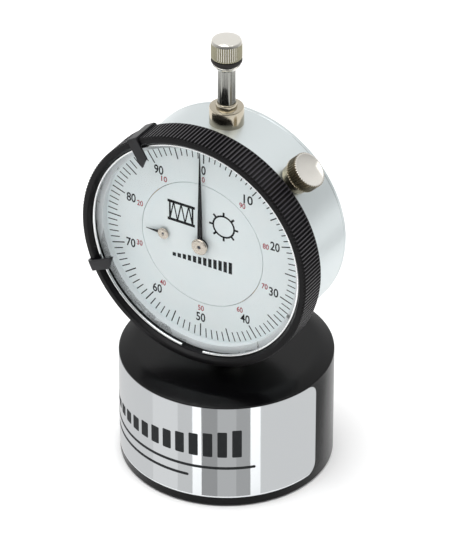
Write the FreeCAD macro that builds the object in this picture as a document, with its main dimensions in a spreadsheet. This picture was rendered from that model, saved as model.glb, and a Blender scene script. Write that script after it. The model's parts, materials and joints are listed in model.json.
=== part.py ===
import FreeCAD, Part
import math
import os
import re

import Sketcher

# Dial tension gauge for drumheads: a dial indicator standing on a weighted round foot.
# Frame: +Z up, the dial faces -Y, origin at the centre of the foot's underside, millimetres.
doc = FreeCAD.newDocument("tension_gauge")

# ---------------------------------------------------------------- driving sizes
driving = {
    # foot
    "footRadius": 24.7, "footWall": 27.3, "footTop": 28.2, "footFlat": 21.5, "footEdge": 0.45,
    "recessRadius": 21.0, "recessDepth": 0.6, "tipHole": 3.2, "stemSeat": 8.0,
    "labelLow": 2.35, "labelHigh": 27.0, "labelSpan": 172.0, "labelThick": 0.1,
    "grubHeight": 16.0, "grubRadius": 1.5, "grubLength": 8.0,
    # stem and spindle line
    "stemRadius": 4.0, "stemBore": 2.6, "stemTop": 35.7, "guideFoot": 29.5, "runFit": 0.04,
    "spindleRadius": 2.0, "spindleFoot": 22.0, "spindleTop": 105.0,
    "rodRadius": 1.5, "tipLength": 6.0, "tipRadius": 1.9,
    "bushRadius": 3.9, "bushFoot": 86.2, "bushTop": 91.5, "wiperRadius": 2.4, "wiperTop": 92.6,
    "capRadius": 3.48, "capFoot": 104.06, "capTop": 108.8, "capWaist": 2.2, "flangeRadius": 3.1,
    "flangeFoot": 101.3, "flangeTop": 102.6, "flangeTaper": 0.9,
    "ringMiddle": 2.9, "ringWire": 0.6, "ringHeight": 103.36,
    # dial head
    "dialHeight": 60.9, "caseRadius": 26.6, "caseBore": 25.0, "caseFront": -7.3, "caseBack": 6.6,
    "ledgeFront": 4.9, "ledgeBore": 19.0, "coverThick": 1.4, "coverEdge": 0.9, "coverScrew": 15.6,
    "bezelRadius": 29.0, "lipRadius": 28.6, "bezelFront": -15.05, "bezelRear": -7.6,
    "bandFront": -14.65, "spigotOuter": 24.9, "spigotInner": 23.9, "spigotRear": -2.4,
    "mouthRadius": 26.95, "mouthFront": -14.25, "grooveRadius": 26.85, "grooveFront": -14.15,
    "crystalFront": -13.5, "crystalRear": -12.3, "wellRadius": 25.05, "snapInner": 26.0,
    "snapGapLeft": -3.3, "snapGapRight": 2.2, "dialFront": -10.66, "dialThick": 0.4,
    "scaleInner": 15.75, "discRadius": 15.6,
    # movement
    "frontPlate": -8.1, "rearPlate": -2.7, "plateThick": 0.8, "frontPlateRadius": 18.6,
    "rearPlateRadius": 22.7, "pillarPlace": 11.67, "pillarRadius": 1.5, "headRadius": 1.4,
    "headThick": 0.6, "postAcross": 18.36, "postUp": 10.6, "postRadius": 1.7,
    "rackArborX": -3.52, "rackArborZ": -7.281, "counterX": -9.839, "counterZ": 0.0,
    "arborRadius": 0.4, "centreRadius": 0.5, "jewelRadius": 1.1, "arborFit": 0.05,
    "rackPitch": 0.635, "rackLine": 1.5, "rackTeeth": 20, "driveTeeth": 60, "centreTeeth": 12,
    "countTeeth": 100, "countPinion": 10,
    "pressTravel": 4.0, "dropTravel": 2.54, "guideHeight": 9.0, "guidePin": 0.6, "guideReach": 9.2,
    "springX": 7.8, "springPost": -13.0, "springRadius": 1.2, "springWire": 0.13,
    # hands
    "handReach": 24.84, "handWidth": 1.25, "handFront": -11.7, "handThick": 0.25,
    "hubRadius": 2.0, "hubFront": -12.15, "colletRadius": 1.6, "smallReach": 4.6,
    "smallWidth": 0.8, "smallFront": -11.15, "smallThick": 0.12, "smallHub": 1.38, "smallHubThick": 0.2,
    "smallCollet": 1.1, "smallAngle": -88.5,
    # rim pointers
    "clipFit": 0.06, "clipThick": 0.5, "clipWidth": 2.6, "clipReach": 22.3, "clipSlant": 1.85, "clipDip": 0.5,
    # bezel clamp
    "clampAngle": 45.0, "clampY": -3.0, "clampBore": 1.35, "shoeRadius": 1.3, "shoeFoot": 24.95,
    "shoeTop": 25.65, "screwRadius": 1.25, "knobFoot": 27.0, "knobTop": 32.5, "knobRadius": 4.2,
    "knobNeck": 3.5, "neckLength": 2.4,
}

size = doc.addObject("Spreadsheet::Sheet", "size")
for row, (name, number) in enumerate(driving.items(), start=1):
    size.set(f"A{row}", name)
    size.set(f"B{row}", str(number))
    size.setAlias(f"B{row}", name)
doc.recompute()

nodes = []


def cells(text):
    """Expression text with each size's name pointed at its cell."""
    return re.sub(r"([a-z]\w+)", r"size.\1", str(text))


def bind(thing, target, text):
    thing.setExpression(target, cells(text))


def keep(thing, label):
    """Name a finished piece; it is written to its own file at the end."""
    thing.Label = label
    nodes.append(thing)
    return thing


def put(thing, x=None, y=None, z=None):
    for letter, text in (("x", x), ("y", y), ("z", z)):
        if text is not None:
            bind(thing, "Placement.Base." + letter, text)
    return thing


# ---------------------------------------------------------------- sketch helpers
def sketchOn(body, role, offset=None):
    sketch = body.newObject("Sketcher::SketchObject", "sketch")
    plane = next(item for item in body.Origin.OriginFeatures if item.Role == role)
    sketch.AttachmentSupport = [(plane, "")]
    sketch.MapMode = "FlatFace"
    if offset is not None:
        bind(sketch, "AttachmentOffset.Base.z", offset)
    return sketch


def outline(sketch, points):
    """Closed outline whose corners are each held at two expressions."""
    first = sketch.GeometryCount
    count = len(points)
    corners = []
    for index in range(count):
        turn = 2 * math.pi * index / count
        corners.append(FreeCAD.Vector(20 * math.cos(turn), 20 * math.sin(turn), 0))
    for index in range(count):
        sketch.addGeometry(Part.LineSegment(corners[index], corners[(index + 1) % count]))
    for index in range(count):
        here = first + index
        after = first + (index + 1) % count
        sketch.addConstraint(Sketcher.Constraint("Coincident", here, 2, after, 1))
    for index, (across, up) in enumerate(points):
        hold(sketch, "DistanceX", first + index, 1, across)
        hold(sketch, "DistanceY", first + index, 1, up)


def hold(sketch, kind, geometry, point, text):
    place = sketch.addConstraint(Sketcher.Constraint(kind, -1, 1, geometry, point, 1.0))
    bind(sketch, f"Constraints[{place}]", text)


def circle(sketch, across, up, radius):
    start = FreeCAD.Vector(1, 1, 0)
    ring = sketch.addGeometry(Part.Circle(start, FreeCAD.Vector(0, 0, 1), 1))
    hold(sketch, "DistanceX", ring, 3, across)
    hold(sketch, "DistanceY", ring, 3, up)
    place = sketch.addConstraint(Sketcher.Constraint("Radius", ring, 1.0))
    bind(sketch, f"Constraints[{place}]", radius)


def turnedUpright(label, points):
    """Round piece on the vertical axis; points are (radius, height)."""
    body = doc.addObject("PartDesign::Body", label)
    sketch = sketchOn(body, "XZ_Plane")
    outline(sketch, points)
    turn = body.newObject("PartDesign::Revolution", "turn")
    turn.Profile = sketch
    turn.ReferenceAxis = (sketch, ["V_Axis"])
    return body


def turnedFacing(label, points, x="0", z="0"):
    """Round piece on an axis along Y; points are (y, radius), x and z are from the dial's axis."""
    body = doc.addObject("PartDesign::Body", label)
    sketch = sketchOn(body, "YZ_Plane")
    outline(sketch, points)
    turn = body.newObject("PartDesign::Revolution", "turn")
    turn.Profile = sketch
    turn.ReferenceAxis = (sketch, ["H_Axis"])
    return put(body, x, None, f"dialHeight + {z}")


def flatPiece(label, rear, thick, draw):
    """Sheet piece parallel to the dial, from its rear face forward; draw fills the sketch."""
    body = doc.addObject("PartDesign::Body", label)
    sketch = sketchOn(body, "XZ_Plane", f"0 - ({rear})")
    draw(sketch)
    pad = body.newObject("PartDesign::Pad", "pad")
    pad.Profile = sketch
    bind(pad, "Length", thick)
    return put(body, None, None, "dialHeight")


def pinAlong(axis, radius, start, length, x="0", y="0", z="0"):
    """Plain cylinder along one axis from start; x, y and z place its axis."""
    pin = doc.addObject("Part::Cylinder", "pin")
    bind(pin, "Radius", radius)
    bind(pin, "Height", length)
    about = {"x": FreeCAD.Vector(0, 1, 0), "y": FreeCAD.Vector(1, 0, 0), "z": FreeCAD.Vector(0, 0, 1)}
    degrees = {"x": 90, "y": -90, "z": 0}
    pin.Placement = FreeCAD.Placement(FreeCAD.Vector(), FreeCAD.Rotation(about[axis], degrees[axis]))
    place = {"x": x, "y": y, "z": z}
    place[axis] = start
    return put(pin, **place)


def block(xs, ys, zs):
    """Rectangular block between two expressions on each axis."""
    box = doc.addObject("Part::Box", "block")
    for side, (low, high) in zip(("Length", "Width", "Height"), (xs, ys, zs)):
        bind(box, side, f"({high}) - ({low})")
    return put(box, xs[0], ys[0], zs[0])


def cut(label, base, tools):
    """Base less the tools, which don't overlap one another."""
    piece = doc.addObject("Part::Cut", label)
    piece.Base = base
    piece.Tool = tools[0] if len(tools) == 1 else group("tools", tools)
    return piece


def join(label, pieces):
    whole = doc.addObject("Part::MultiFuse", label)
    whole.Shapes = pieces
    return whole


def group(label, pieces):
    """Several separate solids carried as one piece."""
    bundle = doc.addObject("Part::Compound", label)
    bundle.Links = pieces
    return bundle


def corners(across, up):
    """The four mirrored places of one point."""
    return [(f"{a}{across}", f"{b}{up}") for a in ("", "-") for b in ("", "-")]


def shaped(label, shape, placement=None):
    """Piece whose form no sketch or primitive gives, from sizes read in the sheet."""
    piece = doc.addObject("Part::Feature", label)
    piece.Shape = shape
    if placement is not None:
        piece.Placement = placement
    return piece


# ---------------------------------------------------------------- foot and stem
footBlank = turnedUpright("foot_blank", [
    ("tipHole", "recessDepth"), ("recessRadius", "recessDepth"), ("recessRadius + 0.4", "0"),
    ("footRadius - footEdge", "0"), ("footRadius", "footEdge"), ("footRadius", "footWall - 0.25"),
    ("footRadius - 0.25", "footWall"), ("footRadius - 0.9", "footWall + 0.45"),
    ("footRadius - 1.9", "footTop - 0.18"), ("footFlat", "footTop"),
    ("stemRadius", "footTop"), ("stemRadius", "stemSeat"), ("tipHole", "stemSeat")])
grubHole = pinAlong("y", "grubRadius", "stemRadius - 0.3", "footRadius", z="grubHeight")
keep(cut("foot_weight", footBlank, [grubHole]), "foot_weight")

labelOuter = doc.addObject("Part::Cylinder", "label_outer")
labelInner = doc.addObject("Part::Cylinder", "label_inner")
for wall, radius in ((labelOuter, "footRadius + labelThick"), (labelInner, "footRadius")):
    bind(wall, "Radius", radius)
    bind(wall, "Height", "labelHigh - labelLow")
    bind(wall, "Angle", "labelSpan")
    bind(wall, "Placement.Base.z", "labelLow")
    wall.Placement.Rotation = FreeCAD.Rotation(FreeCAD.Vector(0, 0, 1), -90 - size.labelSpan / 2)
keep(cut("foot_label", labelOuter, [labelInner]), "foot_label")

grubSocket = pinAlong("y", "grubRadius * 0.5", "stemRadius + grubLength - 1.6", "2", z="grubHeight")
grubBody = pinAlong("y", "grubRadius", "stemRadius", "grubLength", z="grubHeight")
keep(cut("foot_set_screw", grubBody, [grubSocket]), "foot_set_screw")

keep(turnedUpright("stem_tube", [
    ("stemBore", "stemSeat"), ("stemRadius", "stemSeat"), ("stemRadius", "stemTop"),
    ("stemBore", "stemTop")]), "stem_tube")
keep(turnedUpright("lower_guide_bush", [
    ("spindleRadius + runFit", "guideFoot"), ("stemBore", "guideFoot"),
    ("stemBore", "stemTop"), ("spindleRadius + runFit", "stemTop")]), "lower_guide_bush")

# ---------------------------------------------------------------- case
caseBlank = turnedFacing("case_blank", [
    ("caseFront", "caseBore"), ("caseFront", "caseRadius - 0.3"), ("caseFront + 0.3", "caseRadius"),
    ("caseBack", "caseRadius"), ("caseBack", "ledgeBore"), ("ledgeFront", "ledgeBore"),
    ("ledgeFront", "caseBore")])
stemHole = pinAlong("z", "stemRadius", "stemTop - 3", "4")
bushHole = pinAlong("z", "bushRadius", "bushFoot - 0.6", "4")
clampHole = pinAlong("z", "clampBore", "caseBore - 1", "3")
clampTurn = FreeCAD.Rotation(FreeCAD.Vector(0, 1, 0), size.clampAngle)
clampLine = clampTurn.multVec(FreeCAD.Vector(0, 0, 1))


def alongClamp(thing, start):
    """Stand a piece made upright on the clamp's radial line, at a distance from the dial's axis."""
    thing.Placement.Rotation = clampTurn
    bind(thing, "Placement.Base.x", f"({start}) * {clampLine.x:.6f}")
    bind(thing, "Placement.Base.y", "clampY")
    bind(thing, "Placement.Base.z", f"dialHeight + ({start}) * {clampLine.z:.6f}")
    return thing


alongClamp(clampHole, "caseBore - 1")
coverHoles = [pinAlong("y", "1.0", "ledgeFront - 0.1", "caseBack - ledgeFront + 1", x,
                       z=f"dialHeight + {z}")
              for x, z in corners("coverScrew", "coverScrew")]
postHoles = [pinAlong("y", "0.8", "ledgeFront - 0.1", "caseBack - ledgeFront - 0.5", x,
                      z=f"dialHeight + {z}")
             for x, z in corners("postAcross", "postUp")]
caseHoles = [stemHole, bushHole, clampHole] + coverHoles + postHoles
keep(cut("case_shell", caseBlank, caseHoles), "case_shell")

coverBlank = turnedFacing("cover_blank", [
    ("caseBack", "0"), ("caseBack", "caseRadius"), ("caseBack + coverThick - coverEdge", "caseRadius"),
    ("caseBack + coverThick - coverEdge * 0.3", "caseRadius - coverEdge * 0.3"),
    ("caseBack + coverThick", "caseRadius - coverEdge"), ("caseBack + coverThick", "0")])
screwHoles = [pinAlong("y", "1.1", "caseBack - 0.5", "3", x, z=f"dialHeight + {z}")
              for x, z in corners("coverScrew", "coverScrew")]
keep(cut("back_cover", coverBlank, screwHoles), "back_cover")


def screwsFrom(label, places, head, under, length, radius, headRadius, headThick, front):
    """Slotted pan-head screws along Y; front is -1 where the head faces the dial, 1 where it faces back."""
    made = []
    for x, z in places:
        height = f"dialHeight + {z}"
        top = f"({under})" if front > 0 else f"({under}) - ({headThick})"
        shankStart = f"({under}) - ({length})" if front > 0 else under
        parts = [pinAlong("y", headRadius, top, headThick, x, z=height),
                 pinAlong("y", radius, shankStart, length, x, z=height)]
        slotLow = f"({under}) + ({headThick}) * 0.5" if front > 0 else f"({under}) - ({headThick}) * 1.2"
        slot = block((f"({x}) - ({headRadius})", f"({x}) + ({headRadius})"),
                     (slotLow, f"({slotLow}) + ({headThick}) * 0.7"),
                     (f"{height} - 0.16", f"{height} + 0.16"))
        made.append(cut("screw", join(head, parts), [slot]))
    return keep(group(label, made), label)


screwsFrom("back_cover_screws", corners("coverScrew", "coverScrew"), "cover_screw", "caseBack + coverThick",
           "coverThick + 1.4", "1.0", "1.75", "0.85", 1)

# ---------------------------------------------------------------- spindle guides on the case
keep(turnedUpright("upper_bushing", [
    ("spindleRadius + runFit", "bushFoot"), ("bushRadius", "bushFoot"),
    ("bushRadius", "bushTop - 0.3"), ("bushRadius - 0.3", "bushTop"),
    ("spindleRadius + runFit", "bushTop")]), "upper_bushing")
keep(turnedUpright("spindle_wiper", [
    ("spindleRadius + runFit", "bushTop"), ("wiperRadius", "bushTop"), ("wiperRadius", "wiperTop - 0.2"),
    ("wiperRadius - 0.2", "wiperTop"), ("spindleRadius + runFit", "wiperTop")]), "spindle_wiper")

# ---------------------------------------------------------------- bezel and what turns with it
keep(turnedFacing("bezel_ring", [
    ("mouthFront", "mouthRadius"), ("bezelFront", "lipRadius - 1.0"), ("bezelFront", "lipRadius"),
    ("bandFront - 0.1", "bezelRadius - 0.12"), ("bandFront", "bezelRadius"),
    ("bezelRear - 0.75", "bezelRadius"),
    ("bezelRear", "bezelRadius - 0.75"), ("bezelRear", "spigotOuter"),
    ("spigotRear - 0.3", "spigotOuter"), ("spigotRear", "spigotOuter - 0.3"),
    ("spigotRear", "spigotInner"), ("dialFront + dialThick", "spigotInner"),
    ("dialFront + dialThick", "wellRadius"), ("crystalRear", "wellRadius"),
    ("crystalRear", "grooveRadius"), ("grooveFront", "grooveRadius"),
    ("grooveFront", "mouthRadius")]), "bezel_ring")
keep(turnedFacing("crystal", [
    ("crystalFront", "0"), ("crystalFront", "grooveRadius"), ("crystalRear", "grooveRadius"),
    ("crystalRear", "0")]), "crystal")
snapBlank = turnedFacing("snap_blank", [
    ("grooveFront", "snapInner"), ("grooveFront", "grooveRadius"), ("crystalFront", "grooveRadius"),
    ("crystalFront", "snapInner")])
snapGap = block(("snapGapLeft", "snapGapRight"), ("grooveFront - 1", "crystalFront + 1"),
                ("dialHeight - grooveRadius - 1", "dialHeight - snapInner + 2"))
keep(cut("crystal_retaining_ring", snapBlank, [snapGap]), "crystal_retaining_ring")
keep(turnedFacing("dial_scale_ring", [
    ("dialFront", "scaleInner"), ("dialFront", "wellRadius"), ("dialFront + dialThick", "wellRadius"),
    ("dialFront + dialThick", "scaleInner")]), "dial_scale_ring")


def rimClip(label, angle, near, far):
    """Spring-metal pointer that grips the bezel's rim; angle is clockwise from the top of the dial.

    Its end is slanted: near is the short side's sign across the strip and far the long side's.
    """
    front = "(bezelFront - clipFit)"
    strip = turnedFacing(label + "_strip", [
        (f"{front} - clipThick + clipDip", "clipReach - 0.2"), (f"{front} - clipThick", "clipReach + 1.1"),
        (f"{front} - clipThick", "bezelRadius + 0.1"),
        ("bezelFront - 0.15", "bezelRadius + clipFit + clipThick"),
        ("bezelRear - 0.3", "bezelRadius + clipFit + clipThick"),
        ("bezelRear + 0.3", "bezelRadius + 0.1"), ("bezelRear + 0.3", "bezelRadius - 0.9"),
        ("bezelRear + 0.06", "bezelRadius - 0.9"), ("bezelRear + 0.06", "bezelRadius - 0.55"),
        ("bezelRear - 0.6", "bezelRadius + clipFit"), (front, "bezelRadius + clipFit"),
        (front, "clipReach + 1.1"), (f"{front} + clipDip", "clipReach - 0.2")])

    def face(sketch):
        outline(sketch, [
            (f"{far} * clipWidth / 2", "bezelRadius + 2"), (f"{far} * clipWidth / 2", "clipReach"),
            (f"{near} * clipWidth / 2", "clipReach + clipSlant"),
            (f"{near} * clipWidth / 2", "bezelRadius + 2")])

    leg = flatPiece(label + "_leg", "bezelRear + 1", "bezelRear - bezelFront + 3", face)
    clip = doc.addObject("Part::Common", label)
    clip.Base = strip
    clip.Tool = leg
    turn = FreeCAD.Rotation(FreeCAD.Vector(0, 1, 0), angle)
    pivot = FreeCAD.Vector(0, 0, size.dialHeight)
    clip.Placement = FreeCAD.Placement(FreeCAD.Vector(), turn, pivot)
    return keep(clip, label)


rimClip("limit_marker_upper", -30.9, "1", "-1")
rimClip("limit_marker_lower", -114.0, "-1", "1")

# ---------------------------------------------------------------- movement frame and fixed dial disc
arbors = {"rack": ("rackArborX", "rackArborZ"), "centre": ("0", "0"), "counter": ("counterX", "counterZ")}


def frontHoles(sketch):
    circle(sketch, "0", "0", "frontPlateRadius")
    for x, z in arbors.values():
        circle(sketch, x, z, "jewelRadius")
    for x, z in corners("pillarPlace", "pillarPlace"):
        circle(sketch, x, z, "0.8")


def rearHoles(sketch):
    circle(sketch, "0", "0", "rearPlateRadius")
    for x, z in arbors.values():
        circle(sketch, x, z, "jewelRadius")
    for x, z in corners("postAcross", "postUp"):
        circle(sketch, x, z, "0.8")


keep(flatPiece("front_plate", "frontPlate", "plateThick", frontHoles), "front_plate")
keep(flatPiece("rear_plate", "rearPlate", "plateThick", rearHoles), "rear_plate")

pillars = []
for x, z in corners("pillarPlace", "pillarPlace"):
    height = f"dialHeight + {z}"
    outer = pinAlong("y", "pillarRadius", "frontPlate", "rearPlate - plateThick - frontPlate", x, z=height)
    bore = pinAlong("y", "0.8", "frontPlate - 0.5", "3", x, z=height)
    pillars.append(cut("pillar", outer, [bore]))
keep(group("plate_pillars", pillars), "plate_pillars")
screwsFrom("pillar_screws", corners("pillarPlace", "pillarPlace"), "pillar_screw",
           "frontPlate - plateThick", "3", "0.8", "headRadius", "headThick", -1)

posts = []
for x, z in corners("postAcross", "postUp"):
    height = f"dialHeight + {z}"
    shank = pinAlong("y", "postRadius", "rearPlate", "ledgeFront - rearPlate", x, z=height)
    stud = pinAlong("y", "0.8", "ledgeFront", "1.1", x, z=height)
    bore = pinAlong("y", "0.8", "rearPlate - 0.5", "2.6", x, z=height)
    posts.append(cut("post", join("post_blank", [shank, stud]), [bore]))
keep(group("movement_posts", posts), "movement_posts")
screwsFrom("movement_screws", corners("postAcross", "postUp"), "movement_screw",
           "rearPlate - plateThick", "2.8", "0.8", "headRadius", "headThick", -1)

# the rack arbor's back end is held behind the spindle by a cock that stands on the rear plate
cockLow = "dialHeight + rackArborZ - 1.8"
cockHigh = "dialHeight + rackArborZ + 1.8"
cockLeg = block(("rackArborX - 6.4", "rackArborX - 4.2"), ("rearPlate", "2.4"), (cockLow, cockHigh))
cockArm = block(("rackArborX - 6.4", "rackArborX + 1.3"), ("1.6", "2.4"), (cockLow, cockHigh))
cockHole = pinAlong("y", "jewelRadius", "1", "3", "rackArborX", z="dialHeight + rackArborZ")
keep(cut("rack_arbor_cock", join("cock_blank", [cockLeg, cockArm]), [cockHole]), "rack_arbor_cock")

jewels = []
for (x, z), rear in [(arbors["rack"], "frontPlate"), (arbors["centre"], "frontPlate"),
                     (arbors["counter"], "frontPlate"), (arbors["rack"], "rearPlate"),
                     (arbors["centre"], "rearPlate"), (arbors["counter"], "rearPlate"),
                     (arbors["rack"], "2.4")]:
    inner = "centreRadius + arborFit" if x == "0" else "arborRadius + arborFit"
    height = f"dialHeight + {z}"
    ring = pinAlong("y", "jewelRadius", f"{rear} - plateThick", "plateThick", x, z=height)
    bore = pinAlong("y", inner, f"{rear} - plateThick - 0.5", "plateThick + 1", x, z=height)
    jewels.append(cut("jewel", ring, [bore]))
keep(group("arbor_jewels", jewels), "arbor_jewels")


def centreDisc(sketch):
    circle(sketch, "0", "0", "discRadius")
    circle(sketch, "0", "0", "centreRadius + 0.4")
    circle(sketch, "counterX", "counterZ", "arborRadius + 0.5")


keep(flatPiece("dial_centre_disc", "dialFront + dialThick", "dialThick", centreDisc), "dial_centre_disc")
footLength = "frontPlate - plateThick - dialFront - dialThick"
footPlaces = (("13", "0"), ("-6.5", "11.26"), ("-6.5", "-11.26"))
dialFeet = [pinAlong("y", "1.1", "dialFront + dialThick", footLength, x, z=f"dialHeight + {z}")
            for x, z in footPlaces]
keep(group("dial_feet", dialFeet), "dial_feet")

# ---------------------------------------------------------------- spindle
rackZ = size.dialHeight + size.rackArborZ
module = size.rackPitch / math.pi
slant = math.tan(math.radians(20))
toothTop = 0.9 * module
toothRoot = 1.2 * module


def rackComb():
    """What is milled from the spindle's side: a flat, and the spaces between the rack's teeth."""
    pitch = size.rackPitch
    below = math.ceil((size.pressTravel + 1.5) / pitch)
    above = math.ceil((size.dropTravel + 1.5) / pitch)
    outside = -size.spindleRadius - 0.2
    tipLine = -size.rackLine - toothTop
    rootLine = -size.rackLine + toothRoot
    points = [(outside, rackZ - (below + 0.5) * pitch), (tipLine, rackZ - (below + 0.5) * pitch)]
    for step in range(-below, above + 1):
        middle = rackZ + step * pitch
        wide = 0.3 * pitch + toothTop * slant
        narrow = 0.3 * pitch - toothRoot * slant
        points += [(tipLine, middle - wide), (rootLine, middle - narrow)]
        points += [(rootLine, middle + narrow), (tipLine, middle + wide)]
    points += [(tipLine, rackZ + (above + 0.5) * pitch), (outside, rackZ + (above + 0.5) * pitch)]
    wire = Part.makePolygon([FreeCAD.Vector(x, -2.5, z) for x, z in points + points[:1]])
    return Part.Face(wire).extrude(FreeCAD.Vector(0, 5, 0))


spindleRound = pinAlong("z", "spindleRadius", "spindleFoot", "spindleTop - spindleFoot")
comb = shaped("rack_spaces", rackComb())
pinHole = pinAlong("x", "guidePin", "0.3", "3", z="dialHeight + guideHeight")
keep(cut("spindle_rack", spindleRound, [comb, pinHole]), "spindle_rack")
keep(pinAlong("x", "guidePin", "0.3", "guideReach - 0.3", z="dialHeight + guideHeight"), "guide_pin")
keep(turnedUpright("lift_cap", [
    ("spindleRadius", "flangeFoot"), ("spindleRadius + 0.3", "flangeFoot"),
    ("flangeRadius", "flangeFoot + flangeTaper"), ("flangeRadius", "flangeTop"),
    ("capWaist", "flangeTop"), ("capWaist", "capFoot"), ("capRadius - 0.25", "capFoot"),
    ("capRadius", "capFoot + 0.25"), ("capRadius", "capTop - 0.45"), ("capRadius - 0.45", "capTop - 0.06"),
    ("0", "capTop"), ("0", "spindleTop"), ("spindleRadius", "spindleTop")]), "lift_cap")
capRing = doc.addObject("Part::Torus", "cap_o_ring")
bind(capRing, "Radius1", "ringMiddle")
bind(capRing, "Radius2", "ringWire")
keep(put(capRing, z="ringHeight"), "cap_o_ring")
keep(pinAlong("z", "rodRadius", "tipLength", "spindleFoot - tipLength"), "contact_rod")
keep(turnedUpright("contact_tip", [
    ("0", "0"), ("1.0", "0"), ("tipRadius - 0.2", "0.35"), ("tipRadius", "1.0"),
    ("tipRadius", "tipLength - 1.2"), ("rodRadius", "tipLength"), ("0", "tipLength")]), "contact_tip")

guideLine = "dialHeight + guideHeight"
lowestPin = f"{guideLine} - dropTravel - guidePin"
highestPin = f"{guideLine} + pressTravel + guidePin"
forkBody = block(("4.2", "5.8"), ("rearPlate", "2.4"), (f"{lowestPin} - 2", f"{highestPin} + 2"))
forkSlot = block(("3.9", "6.1"), ("-guidePin - arborFit", "guidePin + arborFit"),
                 (f"{lowestPin} - 0.3", f"{highestPin} + 0.3"))
keep(cut("guide_fork", forkBody, [forkSlot]), "guide_fork")
keep(pinAlong("y", "0.8", "rearPlate", "1.5 - rearPlate", "springX",
              z="dialHeight + springPost"), "spring_post")


def coilSpring():
    low = size.dialHeight + size.springPost + 0.8 + 0.2
    high = size.dialHeight + size.guideHeight - size.guidePin - 0.2
    turns = 18
    path = Part.makeHelix((high - low) / turns, high - low, size.springRadius)
    start = FreeCAD.Vector(size.springRadius, 0, 0)
    section = Part.Wire(Part.makeCircle(size.springWire, start, FreeCAD.Vector(0, 1, 0)))
    coil = Part.Wire(path.Edges).makePipeShell([section], True, True)
    coil.translate(FreeCAD.Vector(size.springX, 0, low))
    return coil


keep(shaped("return_spring", coilSpring()), "return_spring")

# ---------------------------------------------------------------- gears
towardCentre = math.degrees(math.atan2(-size.rackArborZ, -size.rackArborX))


def gear(label, teeth, module, reach, place, rear, thick, bore, toothAngle, windows=0):
    """Spur gear on an axis along Y, with one tooth centred at toothAngle (0 is +X, 90 is +Z)."""
    pitchRadius = teeth * module / 2
    baseRadius = pitchRadius * math.cos(math.radians(20))
    radii = [pitchRadius - 1.2 * module, pitchRadius, pitchRadius + reach * module]
    if teeth < 30:
        radii.insert(2, pitchRadius + 0.5 * reach * module)

    def involute(angle):
        return math.tan(angle) - angle

    def halfAngle(radius):
        roll = math.acos(min(1.0, baseRadius / radius))
        return 0.2 * math.pi * module / pitchRadius + involute(math.radians(20)) - involute(roll)

    points = []
    for tooth in range(teeth):
        middle = math.radians(toothAngle + 360 * tooth / teeth)
        flank = [(radius, middle - halfAngle(radius)) for radius in radii]
        flank += [(radius, middle + halfAngle(radius)) for radius in reversed(radii)]
        for radius, turn in flank:
            points.append(FreeCAD.Vector(radius * math.cos(turn), 0, radius * math.sin(turn)))
    blank = Part.Face(Part.makePolygon(points + points[:1])).extrude(FreeCAD.Vector(0, thick, 0))
    holes = [Part.makeCylinder(bore, thick + 1, FreeCAD.Vector(0, -0.5, 0), FreeCAD.Vector(0, 1, 0))]
    for window in range(windows):
        turn = 2 * math.pi * window / windows
        spot = FreeCAD.Vector(0.6 * pitchRadius * math.cos(turn), -0.5, 0.6 * pitchRadius * math.sin(turn))
        holes.append(Part.makeCylinder(0.26 * pitchRadius, thick + 1, spot, FreeCAD.Vector(0, 1, 0)))
    centre = FreeCAD.Vector(place[0], rear - thick, size.dialHeight + place[1])
    return keep(shaped(label, blank.cut(holes), FreeCAD.Placement(centre, FreeCAD.Rotation())), label)


rackPlace = (size.rackArborX, size.rackArborZ)
counterPlace = (size.counterX, size.counterZ)
centrePlace = (0.0, 0.0)
driveModule = 2 * math.hypot(*rackPlace) / (size.driveTeeth + size.centreTeeth)
countModule = 2 * abs(size.counterX) / (size.countTeeth + size.countPinion)

gear("rack_pinion", int(size.rackTeeth), module, 0.9, rackPlace, 1.2, 2.4, size.arborRadius, 0)
gear("drive_wheel", int(size.driveTeeth), driveModule, 0.8, rackPlace, -4.0, 0.6, size.arborRadius,
     towardCentre, 5)
gear("centre_drive_pinion", int(size.centreTeeth), driveModule, 0.9, centrePlace, -3.7, 1.2,
     size.centreRadius, towardCentre + 180 + 180 / size.centreTeeth)
gear("counter_wheel", int(size.countTeeth), countModule, 0.8, counterPlace, -6.0, 0.6, size.arborRadius, 0, 5)
gear("centre_count_pinion", int(size.countPinion), countModule, 0.9, centrePlace, -5.7, 1.2,
     size.centreRadius, 180 + 180 / size.countPinion)

frontEnd = "frontPlate - plateThick + 0.1"
keep(pinAlong("y", "arborRadius", frontEnd, f"2.3 - ({frontEnd})", "rackArborX",
              z="dialHeight + rackArborZ"), "rack_arbor")
keep(pinAlong("y", "centreRadius", "hubFront + 0.12", "rearPlate - 0.1 - hubFront - 0.12", z="dialHeight"),
     "centre_arbor")
keep(pinAlong("y", "arborRadius", "smallFront - smallHubThick + 0.03",
              "rearPlate - 0.1 - smallFront + smallHubThick - 0.03", "counterX",
              z="dialHeight + counterZ"), "counter_arbor")


def hairspring():
    """Flat spiral strip round the counter arbor, from its collet out to the stud."""
    turns = 5
    inner = 1.0
    outer = 4.4

    def edge(offset):
        count = 16 * turns
        spots = []
        for step in range(count + 1):
            turn = 2 * math.pi * turns * step / count
            radius = inner + (outer - inner) * step / count + offset
            spots.append(FreeCAD.Vector(radius * math.cos(turn), 0, radius * math.sin(turn)))
        curve = Part.BSplineCurve()
        curve.interpolate(spots)
        return curve.toShape(), spots[0], spots[-1]

    inside, insideStart, insideEnd = edge(-0.04)
    outside, outsideStart, outsideEnd = edge(0.04)
    ends = [Part.makeLine(insideEnd, outsideEnd), Part.makeLine(outsideStart, insideStart)]
    return Part.Face(Part.Wire([inside, ends[0], outside, ends[1]])).extrude(FreeCAD.Vector(0, 0.3, 0))


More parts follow.
